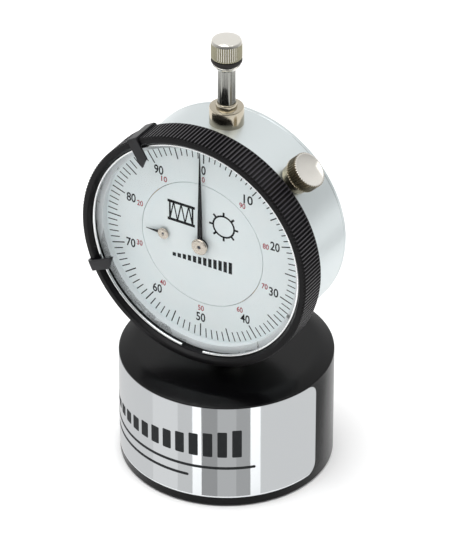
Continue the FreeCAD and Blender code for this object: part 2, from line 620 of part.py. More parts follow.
springPlace = FreeCAD.Vector(size.counterX, size.frontPlate + 0.35, size.dialHeight + size.counterZ)
keep(shaped("hairspring", hairspring(), FreeCAD.Placement(springPlace, FreeCAD.Rotation())), "hairspring")
keep(pinAlong("y", "0.35", "frontPlate", "0.9", "counterX + 4.85",
              z="dialHeight + counterZ"), "hairspring_stud")


# ---------------------------------------------------------------- hands
def hand(label, rear, thick, width, reach, bore, place=("0", "0")):
    """Flat tapering hand with a round boss, made pointing up."""
    def boss(sketch):
        circle(sketch, "0", "0", f"{width} * 1.15")
        circle(sketch, "0", "0", bore)

    body = flatPiece(label, rear, thick, boss)
    blade = sketchOn(body, "XZ_Plane", f"0 - ({rear})")
    outline(blade, [
        (f"-{width} / 2", f"{width} * 0.7"), (f"-{width} * 0.42", f"{reach} * 0.3"), ("-0.02", reach),
        ("0.02", reach), (f"{width} * 0.42", f"{reach} * 0.3"), (f"{width} / 2", f"{width} * 0.7")])
    pad = body.newObject("PartDesign::Pad", "blade")
    pad.Profile = blade
    bind(pad, "Length", thick)
    return keep(put(body, place[0], None, f"dialHeight + {place[1]}"), label)


hand("main_hand", "handFront + handThick", "handThick", "handWidth", "handReach", "centreRadius")
keep(turnedFacing("main_hand_hub", [
    ("hubFront", "centreRadius"), ("hubFront", "hubRadius - 0.2"), ("hubFront + 0.15", "hubRadius"),
    ("handFront", "hubRadius"), ("handFront", "centreRadius")]), "main_hand_hub")
keep(turnedFacing("main_hand_collet", [
    ("handFront + handThick", "centreRadius"), ("handFront + handThick", "colletRadius"),
    ("dialFront - 0.15", "colletRadius"), ("dialFront - 0.15", "centreRadius")]), "main_hand_collet")
smallHand = hand("counter_hand", "smallFront + smallThick", "smallThick", "smallWidth", "smallReach",
                 "arborRadius", arbors["counter"])
smallHand.Placement.Rotation = FreeCAD.Rotation(FreeCAD.Vector(0, 1, 0), size.smallAngle)
keep(turnedFacing("counter_hand_hub", [
    ("smallFront - smallHubThick", "arborRadius"), ("smallFront - smallHubThick", "smallHub"),
    ("smallFront", "smallHub"), ("smallFront", "arborRadius")], *arbors["counter"]), "counter_hand_hub")
keep(turnedFacing("counter_hand_collet", [
    ("smallFront + smallThick", "arborRadius"), ("smallFront + smallThick", "smallCollet"),
    ("dialFront - 0.1", "smallCollet"), ("dialFront - 0.1", "arborRadius")],
    *arbors["counter"]), "counter_hand_collet")

# ---------------------------------------------------------------- bezel clamp
shoe = pinAlong("z", "shoeRadius", "shoeFoot", "shoeTop - shoeFoot")
keep(alongClamp(shoe, "shoeFoot"), "clamp_shoe")
screw = pinAlong("z", "screwRadius", "shoeTop + 0.03", "knobTop - 2 - shoeTop - 0.03")
keep(alongClamp(screw, "shoeTop + 0.03"), "clamp_screw")
knobHigh = "knobTop - knobFoot"
knob = turnedUpright("clamp_knob", [
    ("screwRadius", "0"), ("knobNeck", "0"), ("knobNeck", "neckLength"),
    ("knobRadius - 0.2", "neckLength"), ("knobRadius", "neckLength + 0.2"),
    ("knobRadius", f"{knobHigh} - 0.2"), ("knobRadius - 0.2", knobHigh), ("0", knobHigh),
    ("0", f"{knobHigh} - 2"), ("screwRadius", f"{knobHigh} - 2")])
keep(alongClamp(knob, "knobFoot"), "clamp_knob")

# ---------------------------------------------------------------- test, then write
doc.recompute()
for thing in doc.Objects:
    troubles = {"Invalid", "Error"} & set(thing.State)
    if troubles:
        raise RuntimeError(f"{thing.Label} is {troubles}")
for piece in nodes:
    shape = piece.Shape
    if shape.isNull() or not shape.isValid() or not shape.Solids:
        raise RuntimeError(f"{piece.Label} is not a valid solid")

os.makedirs("parts", exist_ok=True)
for piece in nodes:
    piece.Shape.exportStep(f"parts/{piece.Label}.step")
    box = piece.Shape.BoundBox
    print(f"{piece.Label:24s} {len(piece.Shape.Solids)} {piece.Shape.Volume:10.2f}", end=" ")
    print(f"x {box.XMin:.2f} {box.XMax:.2f} y {box.YMin:.2f} {box.YMax:.2f} z {box.ZMin:.2f} {box.ZMax:.2f}")
print(len(nodes), "nodes")
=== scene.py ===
import json
import math

import bpy
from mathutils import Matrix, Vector


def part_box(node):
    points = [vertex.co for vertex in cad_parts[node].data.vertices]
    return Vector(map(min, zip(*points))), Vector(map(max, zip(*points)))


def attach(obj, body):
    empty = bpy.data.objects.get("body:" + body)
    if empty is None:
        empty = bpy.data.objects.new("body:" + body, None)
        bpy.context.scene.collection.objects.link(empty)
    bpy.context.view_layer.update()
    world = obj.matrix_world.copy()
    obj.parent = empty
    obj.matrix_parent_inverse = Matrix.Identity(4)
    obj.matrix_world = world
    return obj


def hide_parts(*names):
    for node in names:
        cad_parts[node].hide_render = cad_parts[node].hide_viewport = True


# Dial tension gauge for drumheads: knurled bezel, printed dial, foil label, weighted foot.
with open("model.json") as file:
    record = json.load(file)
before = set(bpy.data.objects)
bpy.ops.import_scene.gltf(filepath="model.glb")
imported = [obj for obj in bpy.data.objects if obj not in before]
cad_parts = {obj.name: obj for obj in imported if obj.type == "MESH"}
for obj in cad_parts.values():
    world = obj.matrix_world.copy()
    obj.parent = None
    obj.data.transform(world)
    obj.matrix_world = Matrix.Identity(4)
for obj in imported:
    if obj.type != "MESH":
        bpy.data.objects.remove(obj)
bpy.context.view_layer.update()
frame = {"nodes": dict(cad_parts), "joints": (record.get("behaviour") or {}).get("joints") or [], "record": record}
mm = 0.001
print("frame loaded:", len(frame["nodes"]), "nodes")


view = {"azimuth": 30.854, "elevation": 33.452, "distance": 0.94238, "aimHeight": 0.048066,
        "lens": 277.7, "shift": -0.00304}


def makeCamera():
    across = math.radians(view["azimuth"])
    up = math.radians(view["elevation"])
    away = Vector((math.sin(across) * math.cos(up), -math.cos(across) * math.cos(up), math.sin(up)))
    aim = Vector((0, 0, view["aimHeight"]))
    bpy.ops.object.camera_add(location=aim + away * view["distance"])
    camera = bpy.context.object
    camera.rotation_euler = (-away).to_track_quat("-Z", "Y").to_euler()
    camera.data.lens = view["lens"]
    camera.data.sensor_width = 36
    camera.data.shift_x = view["shift"]
    camera.data.clip_start = 0.01
    bpy.context.scene.camera = camera


makeCamera()


def linear(code):
    # sRGB hex to the linear values a shader takes.
    channels = [int(code[place:place + 2], 16) / 255 for place in (1, 3, 5)]
    return [c / 12.92 if c <= 0.04045 else ((c + 0.055) / 1.055) ** 2.4 for c in channels] + [1.0]


def newMaterial(name, colour, **sockets):
    # Principled material with its constants set on the shader's own sockets.
    material = bpy.data.materials.new(name)
    material.use_nodes = True
    shader = material.node_tree.nodes["Principled BSDF"]
    shader.inputs["Base Color"].default_value = linear(colour)
    material.diffuse_color = linear(colour)
    for socket, value in sockets.items():
        shader.inputs[socket.replace("_", " ")].default_value = value
    return material


def addNode(material, kind, links=(), **settings):
    # Adds one node; settings go to its inputs or its properties, links are (from socket, input).
    node = material.node_tree.nodes.new(kind)
    for setting, value in settings.items():
        socket = node.inputs.get(setting.replace("_", " "))
        if socket is not None:
            socket.default_value = value
        else:
            setattr(node, setting, value)
    for source, target in links:
        material.node_tree.links.new(source, node.inputs[target])
    return node


def intoShader(material, socket, target):
    shader = material.node_tree.nodes["Principled BSDF"]
    material.node_tree.links.new(socket, shader.inputs[target])


def grain(material, grainMm, stretch=(1, 1, 1), detail=3.0):
    # Noise on Object coordinates whose blobs are grainMm across.
    where = addNode(material, "ShaderNodeTexCoord")
    mapped = addNode(material, "ShaderNodeMapping", [(where.outputs["Object"], "Vector")], Scale=stretch)
    return addNode(material, "ShaderNodeTexNoise", [(mapped.outputs["Vector"], "Vector")],
                   Scale=1 / (grainMm * mm), Detail=detail)


def roughen(material, noise, low, high):
    # Roughness that wanders between two values with the noise.
    ramp = addNode(material, "ShaderNodeMapRange", [(noise.outputs["Fac"], "Value")],
                   From_Min=0.3, From_Max=0.7, To_Min=low, To_Max=high)
    intoShader(material, ramp.outputs["Result"], "Roughness")


def bump(material, noise, heightMm, strength=1.0):
    relief = addNode(material, "ShaderNodeBump", [(noise.outputs["Fac"], "Height")],
                     Distance=heightMm * mm, Strength=strength)
    intoShader(material, relief.outputs["Normal"], "Normal")


def tint(material, noise, dark, light):
    # Base colour that wanders between two hex colours with the noise.
    mix = addNode(material, "ShaderNodeMix", [(noise.outputs["Fac"], "Factor")], data_type="RGBA")
    for socket, code in zip([s for s in mix.inputs if s.type == "RGBA"], (dark, light)):
        socket.default_value = linear(code)
    colour = next(s for s in mix.outputs if s.type == "RGBA")
    intoShader(material, colour, "Base Color")


def blackEnamel():
    # stoved semi-gloss enamel on turned steel: soft broad highlights over a faint orange peel
    material = newMaterial("semiGlossBlackEnamel", "#050506", Roughness=0.24, Specular_IOR_Level=0.16)
    peel = grain(material, 0.9, detail=2)
    roughen(material, peel, 0.22, 0.26)
    bump(material, peel, 0.002)
    return material


def blackBezelPaint():
    # satin black on a knurled die-cast ring
    material = newMaterial("satinBlackPaint", "#070608", Roughness=0.42, Specular_IOR_Level=0.2)
    speck = grain(material, 0.25)
    roughen(material, speck, 0.36, 0.50)
    bump(material, speck, 0.008)
    return material


def rubbedPaint():
    # the same paint, greyer and glossier on the knurl's ridge tops: the grey is a painted highlight, with a random
    # mottle
    material = newMaterial("paintedRidgeHighlight", "#343136", Roughness=0.34, Specular_IOR_Level=0.4)
    highlightMottle = grain(material, 0.6)
    tint(material, highlightMottle, "#2a282c", "#3e3b40")
    roughen(material, highlightMottle, 0.28, 0.42)
    return material


def mirrorFoil():
    # metallised polyester label: near mirror, with slow waves from being pressed on by hand
    material = newMaterial("metallisedFoil", "#e3e6e8", Metallic=1.0, Roughness=0.08)
    wave = grain(material, 9, stretch=(1, 1, 0.35), detail=1)
    bump(material, wave, 0.03)
    fine = grain(material, 0.6, stretch=(1, 1, 0.1))
    roughen(material, fine, 0.04, 0.08)
    return material


def satinCase():
    # satin-chromed casting: pale, blurred reflections and a fine bead-blast grain
    material = newMaterial("satinChromedCasting", "#ccd3d4", Metallic=0.9, Roughness=0.36)
    blast = grain(material, 0.12)
    roughen(material, blast, 0.32, 0.42)
    bump(material, blast, 0.004)
    return material


def turnedNickel(name, colour):
    # bright nickel plate on turned brass: warm, sharp reflections
    material = newMaterial(name, colour, Metallic=1.0, Roughness=0.14)
    turned = grain(material, 0.2, stretch=(0.1, 0.1, 1))
    roughen(material, turned, 0.10, 0.20)
    return material


def knurledNickel(name, dark, light):
    # nickel over knurling: duller, olive in the valleys where it tarnishes
    material = newMaterial(name, light, Metallic=1.0, Roughness=0.32)
    patch = grain(material, 0.5)
    tint(material, patch, dark, light)
    roughen(material, patch, 0.26, 0.40)
    return material


def groundSteel():
    # centreless-ground spindle: dark polished steel with a faint lengthways grain
    material = newMaterial("groundPolishedSteel", "#94948f", Metallic=1.0, Roughness=0.13)
    line = grain(material, 0.15, stretch=(1, 1, 0.06))
    roughen(material, line, 0.09, 0.18)
    return material


def plainSteel(name, colour, rough, metallic=1.0):
    material = newMaterial(name, colour, Metallic=metallic, Roughness=rough)
    roughen(material, grain(material, 0.2), rough - 0.05, rough + 0.07)
    return material


def finedBrass(name, colour):
    # rolled brass with a straight grain
    material = newMaterial(name, colour, Metallic=1.0, Roughness=0.3)
    line = grain(material, 0.1, stretch=(0.08, 1, 1))
    roughen(material, line, 0.24, 0.38)
    return material


def clearAcrylic():
    # polished acrylic crystal: almost unseen apart from its gloss
    material = newMaterial("polishedAcrylic", "#20262a", Roughness=0.02, IOR=1.49, Alpha=0.05)
    roughen(material, grain(material, 4), 0.015, 0.04)
    return material


def dialLacquer():
    # cool white matt lacquer on sheet brass
    material = newMaterial("matWhiteLacquer", "#f1fafb", Roughness=0.55)
    cloud = grain(material, 6)
    tint(material, cloud, "#ecf8fa", "#f5fbfb")
    roughen(material, cloud, 0.5, 0.6)
    return material


def printInk(name, colour):
    # screen-printed ink: flat colour, slightly broken at its edge
    material = newMaterial(name, colour, Roughness=0.6, Specular_IOR_Level=0.25)
    roughen(material, grain(material, 0.15), 0.5, 0.7)
    return material


def castingBore():
    # bored and painted die casting: pale, soft and clean
    material = newMaterial("paintedCastingBore", "#e6ecee", Roughness=0.45)
    roughen(material, grain(material, 0.3), 0.42, 0.5)
    return material


def nitrileRubber():
    material = newMaterial("nitrileRubber", "#1a1410", Roughness=0.6)
    roughen(material, grain(material, 0.3), 0.5, 0.7)
    return material


finish = {
    "enamel": blackEnamel(), "bezelPaint": blackBezelPaint(), "rubbedPaint": rubbedPaint(),
    "foil": mirrorFoil(), "case": satinCase(), "wellMetal": castingBore(),
    "nickel": turnedNickel("polishedNickelPlate", "#e0ddd6"),
    "champagne": turnedNickel("warmNickelPlate", "#c4bcb0"),
    "agedNickel": turnedNickel("agedNickelPlate", "#b5ad9c"),
    "knurled": knurledNickel("knurledNickelPlate", "#8c8874", "#a5a18c"),
    "knurledDull": knurledNickel("tarnishedNickelKnurl", "#8d8470", "#b3aa96"),
    "groundSteel": groundSteel(), "springSteel": plainSteel("brightSpringSteel", "#e6e8e8", 0.2),
    "zincSteel": plainSteel("zincPlatedSteel", "#a9aaa8", 0.34),
    "arborSteel": plainSteel("hardenedSteel", "#55565a", 0.25),
    "darkSteel": plainSteel("bluedSteel", "#3c3c40", 0.3),
    "blackOxide": plainSteel("blackOxideSteel", "#17171a", 0.4, metallic=0.3),
    "brass": finedBrass("grainedBrassSheet", "#c9a862"), "bronze": finedBrass("reamedBronze", "#a87f4d"),
    "acrylic": clearAcrylic(), "dial": dialLacquer(), "rubber": nitrileRubber(),
    "ink": printInk("blackScreenInk", "#1f2224"), "redInk": printInk("redScreenInk", "#b04a55"),
    "handLacquer": printInk("blackHandLacquer", "#121315"),
}
print("materials made:", len(finish))


def deselectAll():
    bpy.ops.object.select_all(action="DESELECT")


def takeUp(piece):
    # Makes one object the only selected and the active one.
    deselectAll()
    piece.select_set(True)
    bpy.context.view_layer.objects.active = piece


def settle(piece):
    # Puts the object at the origin with its place in its mesh.
    takeUp(piece)
    bpy.ops.object.transform_apply(location=True, rotation=True, scale=True)


def tidyMesh(piece, angle=32):
    # Closes doubles, points faces outwards and shades by angle.
    takeUp(piece)
    bpy.ops.object.mode_set(mode="EDIT")
    bpy.ops.mesh.select_all(action="SELECT")
    bpy.ops.mesh.remove_doubles(threshold=0.0005 * mm)
    bpy.ops.mesh.normals_make_consistent(inside=False)
    bpy.ops.object.mode_set(mode="OBJECT")
    bpy.ops.object.shade_smooth_by_angle(angle=math.radians(angle))


def pick(piece, test, kind="VERT"):
    # Selects the vertices or faces that pass a test, from object mode, and goes to edit mode.
    takeUp(piece)
    bpy.ops.object.mode_set(mode="EDIT")
    bpy.ops.mesh.select_mode(type=kind)
    bpy.ops.mesh.select_all(action="DESELECT")
    bpy.ops.object.mode_set(mode="OBJECT")
    items = piece.data.vertices if kind == "VERT" else piece.data.polygons
    for item in items:
        item.select = test(item)
    bpy.ops.object.mode_set(mode="EDIT")


def stand(piece, body, material, slotName, *replaced):
    # Gives a finished piece its material and its body, and hides the nodes it stands for.
    piece.data.materials.clear()
    piece.data.materials.append(finish[material])
    rideOn(piece, body, slotName, *replaced)


def rideOn(piece, body, slotName, *replaced):
    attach(piece, body)
    if replaced:
        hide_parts(*replaced)


def turned(name, rings, sides=128, tube=False, knurl=(), facing=False, tilt=0.0,
           centre=(0, 0, 0)):
    # Turned piece: a circle extruded and scaled from ring to ring; rings are (radius, height) in mm.
    # facing lays its axis along +Y; tilt then leans an upright piece towards +X.
    deselectAll()
    bpy.ops.mesh.primitive_circle_add(vertices=sides, radius=rings[0][0] * mm, fill_type="NOTHING",
                                      location=(0, 0, 0))
    piece = bpy.context.object
    piece.name = name
    bpy.ops.object.mode_set(mode="EDIT")
    bpy.ops.mesh.select_all(action="SELECT")
    bpy.ops.transform.translate(value=(0, 0, rings[0][1] * mm))
    if not tube:
        bpy.ops.mesh.edge_face_add()
        bpy.ops.mesh.select_mode(type="EDGE")
    for before, after in zip(rings, rings[1:]):
        climb = (after[1] - before[1]) * mm
        bpy.ops.mesh.extrude_edges_move(TRANSFORM_OT_translate={"value": (0, 0, climb)})
        ratio = after[0] / before[0]
        bpy.ops.transform.resize(value=(ratio, ratio, 1), center_override=(0, 0, after[1] * mm))
    if tube:
        bpy.ops.object.mode_set(mode="OBJECT")
        last = sides * (len(rings) - 1)
        pick(piece, lambda spot: spot.index < sides or spot.index >= last)
        bpy.ops.mesh.select_mode(type="EDGE")
        bpy.ops.mesh.bridge_edge_loops()
    else:
        bpy.ops.mesh.edge_face_add()
    bpy.ops.object.mode_set(mode="OBJECT")
    for numbers, depth in knurl:
        groove(piece, numbers, depth, rings, sides)
    if facing:
        piece.rotation_euler = (-math.pi / 2, 0, 0)
    elif tilt:
        piece.rotation_euler = (0, math.radians(tilt), 0)
    piece.location = centre
    return piece


def groove(piece, numbers, depth, rings, sides):
    # presses knurling into the named rings: two of every four vertices move inwards
    for number in numbers:
        first = number * sides
        pick(piece, lambda spot: first <= spot.index < first + sides and spot.index % 4 < 2)
        factor = (rings[number][0] - depth) / rings[number][0]
        bpy.ops.transform.resize(value=(factor, factor, 1), center_override=(0, 0, rings[number][1] * mm))
        bpy.ops.object.mode_set(mode="OBJECT")


def arc(centre, radius, start, end, steps):
    # Points of a rounded edge in (radius, height), angles from the outward direction.
    turns = [math.radians(start + (end - start) * step / steps) for step in range(steps + 1)]
    return [(centre[0] + radius * math.cos(turn), centre[1] + radius * math.sin(turn)) for turn in turns]


def smoothCopy(node, body, material, slotName, angle=32):
    # Shades a right-shaped CAD piece smoothly: a merged copy stands for it.
    source = frame["nodes"][node]
    piece = source.copy()
    piece.data = source.data.copy()
    for key in list(piece.keys()):
        del piece[key]
    piece.parent = None
    piece.name = node + "_finish"
    bpy.context.scene.collection.objects.link(piece)
    takeUp(piece)
    bpy.ops.object.mode_set(mode="EDIT")
    bpy.ops.mesh.select_all(action="SELECT")
    bpy.ops.mesh.remove_doubles(threshold=0.0005 * mm)
    bpy.ops.object.mode_set(mode="OBJECT")
    bpy.ops.object.shade_smooth_by_angle(angle=math.radians(angle))
    even = piece.modifiers.new("even", "WEIGHTED_NORMAL")
    even.keep_sharp = True
    bpy.ops.object.modifier_apply(modifier=even.name)
    stand(piece, body, material, slotName, node)


def boxMm(node):
    low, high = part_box(node)
    return low / mm, high / mm


bezelLow, bezelHigh = boxMm("bezel_ring")
dialCentre = (0, 0, (bezelLow.z + bezelHigh.z) / 2 * mm)
bezelRadius = (bezelHigh.x - bezelLow.x) / 2
dialFace = boxMm("dial_scale_ring")[0].y


footShape = {"edge": 0.45, "crown": 0.9, "crisp": 0.22, "flat": 20.5, "recess": 21.0, "recessDepth": 0.6,
             "sides": 256}


def makeFoot():
    low, high = boxMm("foot_weight")
    radius = (high.x - low.x) / 2
    wall = high.z - footShape["crown"]
    crisp = footShape["crisp"]
    rings = [(3.2, footShape["recessDepth"]), (footShape["recess"], footShape["recessDepth"]),
             (footShape["recess"] + 0.35, 0.0)]
    rings += arc((radius - footShape["edge"], footShape["edge"]), footShape["edge"], -90, 0, 5)
    rings += arc((radius - crisp, wall - crisp), crisp, 0, 70, 4)
    # the shoulder sweeps up from the crisp wall edge to the level top
    reach = rings[-1][0] - footShape["flat"]
    start = rings[-1][1]
    for step in range(1, 13):
        share = step / 12
        out = radius - crisp + crisp * 0.34 - reach * share
        rings.append((out, start + (high.z - start) * math.sin(share * math.pi / 2)))
    rings += [(12, high.z), (4.3, high.z), (4.05, high.z - 0.25), (4.05, high.z - 6), (3.2, high.z - 6)]
    foot = turned("foot_weight_body", rings, sides=footShape["sides"], tube=True)
    tidyMesh(foot)
    stand(foot, "stand", "enamel", "foot_black", "foot_weight")
    return radius


footRadius = makeFoot()


label = {"span": 172.0, "low": 2.35, "high": 26.95, "corner": 2.9, "cuts": 56, "foilLift": 0.06,
         "inkLift": 0.085}


def wrap(piece, radius):
    # Rolls a flat piece (x across, z up) round the foot, centred on the front.
    for spot in piece.data.vertices:
        turn = spot.co.x / (radius * mm)
        out = radius * mm - spot.co.y
        spot.co = Vector((out * math.sin(turn), -out * math.cos(turn), spot.co.z))


def flatSheet(name, width, height, centre, corner=0.0, cuts=1, steps=7):
    # Upright flat sheet, x across and z up, with rounded corners and upright cuts for bending.
    deselectAll()
    bpy.ops.mesh.primitive_plane_add(size=1, location=(0, 0, 0), rotation=(math.pi / 2, 0, 0))
    sheet = bpy.context.object
    sheet.name = name
    sheet.scale = (width * mm, height * mm, 1)
    sheet.location = (centre[0] * mm, 0, centre[1] * mm)
    settle(sheet)
    bpy.ops.object.mode_set(mode="EDIT")
    bpy.ops.mesh.select_all(action="SELECT")
    if corner:
        bpy.ops.mesh.bevel(offset=corner * mm, segments=steps, affect="VERTICES")
    for cut in range(1, cuts):
        bpy.ops.mesh.select_all(action="SELECT")
        across = (centre[0] - width / 2 + width * cut / cuts) * mm
        bpy.ops.mesh.bisect(plane_co=(across, 0, 0), plane_no=(1, 0, 0))
    bpy.ops.object.mode_set(mode="OBJECT")
    return sheet


def thicken(piece, thick):
    # Gives a sheet its thickness, behind its front face.
    takeUp(piece)
    wall = piece.modifiers.new("wall", "SOLIDIFY")
    wall.thickness = thick * mm
    wall.offset = -1
    bpy.ops.object.modifier_apply(modifier=wall.name)


def joinAll(pieces, name):
    deselectAll()
    for piece in pieces:
        piece.select_set(True)
    bpy.context.view_layer.objects.active = pieces[0]
    bpy.ops.object.join()
    joined = bpy.context.object
    joined.name = name
    return joined


def faceFront(piece):
    # Turns a flat sheet's faces to -Y before it is thickened.
    takeUp(piece)
    if piece.data.polygons[0].normal.y > 0:
        bpy.ops.object.mode_set(mode="EDIT")
        bpy.ops.mesh.select_all(action="SELECT")
        bpy.ops.mesh.flip_normals()
        bpy.ops.object.mode_set(mode="OBJECT")


def makeLabel():
    width = math.radians(label["span"]) * footRadius
    height = label["high"] - label["low"]
    middle = (label["high"] + label["low"]) / 2
    foil = flatSheet("foot_label_foil", width, height, (0, middle), label["corner"], label["cuts"])
    faceFront(foil)
    wrap(foil, footRadius + label["foilLift"])
    thicken(foil, label["foilLift"])
    takeUp(foil)
    bpy.ops.object.shade_smooth_by_angle(angle=math.radians(40))
    stand(foil, "stand", "foil", "label_foil", "foot_label")


# plain rising bars over two rules: a level graphic with no lettering
labelPrint = {"bars": 13, "left": -24.5, "pitch": 3.35, "barWidth": 2.2, "base": 13.6,
              "least": 1.6, "most": 7.4,
              "rules": ((-3.0, 10.6, 46.0, 0.7), (-9.5, 7.9, 28.0, 0.7))}


def makeLabelPrint():
    marks = []
    for number in range(labelPrint["bars"]):
        share = number / (labelPrint["bars"] - 1)
        tall = labelPrint["least"] + (labelPrint["most"] - labelPrint["least"]) * share
        across = labelPrint["left"] + labelPrint["pitch"] * number
        middle = (across, labelPrint["base"] + tall / 2)
        marks.append(flatSheet("bar", labelPrint["barWidth"], tall, middle, 0.25, 3, 3))
    for across, up, long, thick in labelPrint["rules"]:
        marks.append(flatSheet("rule", long, thick, (across, up), 0.3, int(long / 1.3), 3))
    ink = joinAll(marks, "foot_label_print")
    faceFront(ink)
    wrap(ink, footRadius + label["inkLift"])
    thicken(ink, label["inkLift"] - label["foilLift"])
    stand(ink, "stand", "ink", "label_foil")


makeLabel()
makeLabelPrint()
print("foot and label made")


bezel = {"ridges": 200, "grooveDepth": 0.42, "lip": 0.4, "bandStart": 0.4, "mouth": 2.05,
         "rearChamfer": 0.75}


def makeBezel():
    front = bezelLow.y
    rear = boxMm("limit_marker_upper")[1].y - 0.05
    crystalHigh = boxMm("crystal")[1]
    well = boxMm("dial_scale_ring")[1].x
    seat = crystalHigh.x
    groovedFront = boxMm("crystal_retaining_ring")[0].y
    dialBack = boxMm("dial_scale_ring")[1].y
    spigot = bezelRadius - 4.1
    sides = bezel["ridges"] * 4
    mouthRadius = bezelRadius - bezel["mouth"]
    lipRadius = bezelRadius - bezel["lip"]
    bandFront = front + bezel["bandStart"]
    bandRear = rear - bezel["rearChamfer"]
    mouth = [(mouthRadius, groovedFront), (mouthRadius, front + 0.82), (mouthRadius + 0.1, front + 0.66),
             (mouthRadius + 0.5, front + 0.12), (mouthRadius + 0.65, front)]
    lip = [(lipRadius, front), (lipRadius + 0.08, front + 0.04)]
    band = [(bezelRadius - 0.12, bandFront - 0.1), (bezelRadius, bandFront),
            (bezelRadius, bandFront + 0.25), (bezelRadius, bandRear - 0.3), (bezelRadius, bandRear)]
    rings = mouth + lip + band
    rings += [(bezelRadius - 0.4, rear - 0.4), (bezelRadius - bezel["rearChamfer"], rear), (spigot, rear),
              (spigot, bezelHigh.y - 0.3), (spigot - 0.3, bezelHigh.y), (spigot - 1, bezelHigh.y),
              (spigot - 1, dialBack), (well, dialBack), (well, crystalHigh.y), (seat, crystalHigh.y),
              (seat, groovedFront)]
    first = len(mouth) + len(lip)
    depth = bezel["grooveDepth"]
    knurl = (((first, first + 1), depth * 0.7), ((first + 2, first + 3), depth))
    ring = turned("bezel_ring_body", rings, sides=sides, tube=True, knurl=knurl, facing=True,
                  centre=dialCentre)
    settle(ring)
    tidyMesh(ring, angle=28)
    ring.data.materials.clear()
    ring.data.materials.append(finish["bezelPaint"])
    ring.data.materials.append(finish["wellMetal"])
    ring.data.materials.append(finish["rubbedPaint"])
    for face in ring.data.polygons:
        out = math.hypot(face.center.x, face.center.z - dialCentre[2]) / mm
        deep = face.center.y / mm
        inside = out < seat - 0.3 and crystalHigh.y - 0.05 < deep < dialBack
        # ridge tops take the greyer paint: a painted highlight along the knurl, valleys keep the dark paint
        highlightedRidgeTop = out > bezelRadius - 0.04 and bandFront + 0.1 < deep < bandRear
        face.material_index = 1 if inside or abs(out - well) < 0.02 else 2 if highlightedRidgeTop else 0
    rideOn(ring, "bezel", "bezel_black", "bezel_ring")


makeBezel()
print("bezel made")


def makeSnapRing():
    low, high = boxMm("crystal_retaining_ring")
    wire = (high.y - low.y) / 2
    middle = high.x - wire
    rings = [(middle + wire * math.cos(turn), low.y + wire + wire * math.sin(turn))
             for turn in [2 * math.pi * step / 12 for step in range(12)]]
    ring = turned("crystal_retaining_ring_wire", rings, sides=240, tube=True, facing=True,
                  centre=dialCentre)
    settle(ring)
    gap = (-3.3 * mm, 2.2 * mm)
    pick(ring, lambda face: face.center.z < dialCentre[2] and gap[0] < face.center.x < gap[1], "FACE")
    bpy.ops.mesh.delete(type="FACE")
    bpy.ops.mesh.select_mode(type="EDGE")
    bpy.ops.mesh.select_all(action="DESELECT")
    bpy.ops.mesh.select_non_manifold()
    bpy.ops.mesh.edge_face_add()
    bpy.ops.object.mode_set(mode="OBJECT")
    tidyMesh(ring, 40)
    stand(ring, "bezel", "springSteel", "ring_bright", "crystal_retaining_ring")


makeSnapRing()


dial = {"turn": 1.255, "tickInner": 21.35, "tickOuter": 24.72, "minorInner": 22.3, "tickWidth": 0.28,
        "minorWidth": 0.24, "ink": 0.02, "numberRadius": 19.6, "numberHeight": 2.3, "digitWidth": 1.12,
        "redRadius": 17.15, "redHeight": 1.4, "redDigitWidth": 0.72}


def onDial(piece, across, up, lift=0.0):
    # Moves a flat mark to its place on the dial's face.
    piece.location = (across * mm, (dialFace - lift) * mm, dialCentre[2] + up * mm)
    settle(piece)


def makeTicks():
    ticks = []
    for number in range(100):
        major = number % 5 == 0
        inner = dial["tickInner"] if major else dial["minorInner"]
        width = dial["tickWidth"] if major else dial["minorWidth"]
        length = dial["tickOuter"] - inner
        tick = flatSheet("tick", width, length, (0, inner + length / 2))
        tick.rotation_euler = (0, math.radians(number * 3.6 + dial["turn"]), 0)
        onDial(tick, 0, 0, dial["ink"])
        ticks.append(tick)
    scale = joinAll(ticks, "scale_ticks")
    faceFront(scale)
    thicken(scale, dial["ink"])
    stand(scale, "bezel", "ink", "dial_white")


def makeNumber(text, clock, radius, height, digitWidth):
    # Upright number on the scale ring, its middle at clock degrees from the top.
    deselectAll()
    bpy.ops.object.text_add(location=(0, 0, 0), rotation=(math.pi / 2, 0, 0))
    number = bpy.context.object
    number.data.body = text
    number.data.resolution_u = 6
    number.data.offset = 0.015
    bpy.ops.object.convert(target="MESH")
    number = bpy.context.object
    settle(number)
    across = [spot.co.x for spot in number.data.vertices]
    up = [spot.co.z for spot in number.data.vertices]
    wide = digitWidth * len(text) + 0.12 * digitWidth * (len(text) - 1)
    stretch = (wide * mm / (max(across) - min(across)), height * mm / (max(up) - min(up)))
    middle = ((max(across) + min(across)) / 2, (max(up) + min(up)) / 2)
    turn = math.radians(clock + dial["turn"])
    for spot in number.data.vertices:
        spot.co.x = (spot.co.x - middle[0]) * stretch[0]
        spot.co.z = (spot.co.z - middle[1]) * stretch[1]
    onDial(number, radius * math.sin(turn), radius * math.cos(turn), dial["ink"])
    return number


def makeNumbers():
    black = []
    red = []
    for step in range(10):
        black.append(makeNumber(str(step * 10), step * 36, dial["numberRadius"], dial["numberHeight"],
                                dial["digitWidth"]))
        back = (100 - step * 10) % 100
        red.append(makeNumber(str(back), step * 36, dial["redRadius"], dial["redHeight"],
                              dial["redDigitWidth"]))
    for numbers, name, ink in ((black, "scale_numbers", "ink"), (red, "scale_numbers_reverse", "redInk")):
        whole = joinAll(numbers, name)
        faceFront(whole)
        thicken(whole, dial["ink"])
        stand(whole, "bezel", ink, "dial_white")


makeTicks()
makeNumbers()
print("scale printed")


# plain drum signs above the hub and rising bars below it, with no lettering
art = {"line": 0.32, "barCount": 12, "barLeft": -7.3, "barPitch": 1.33, "barBase": -5.4, "barWidth": 0.88,
       "barLeast": 0.9, "barMost": 3.0}


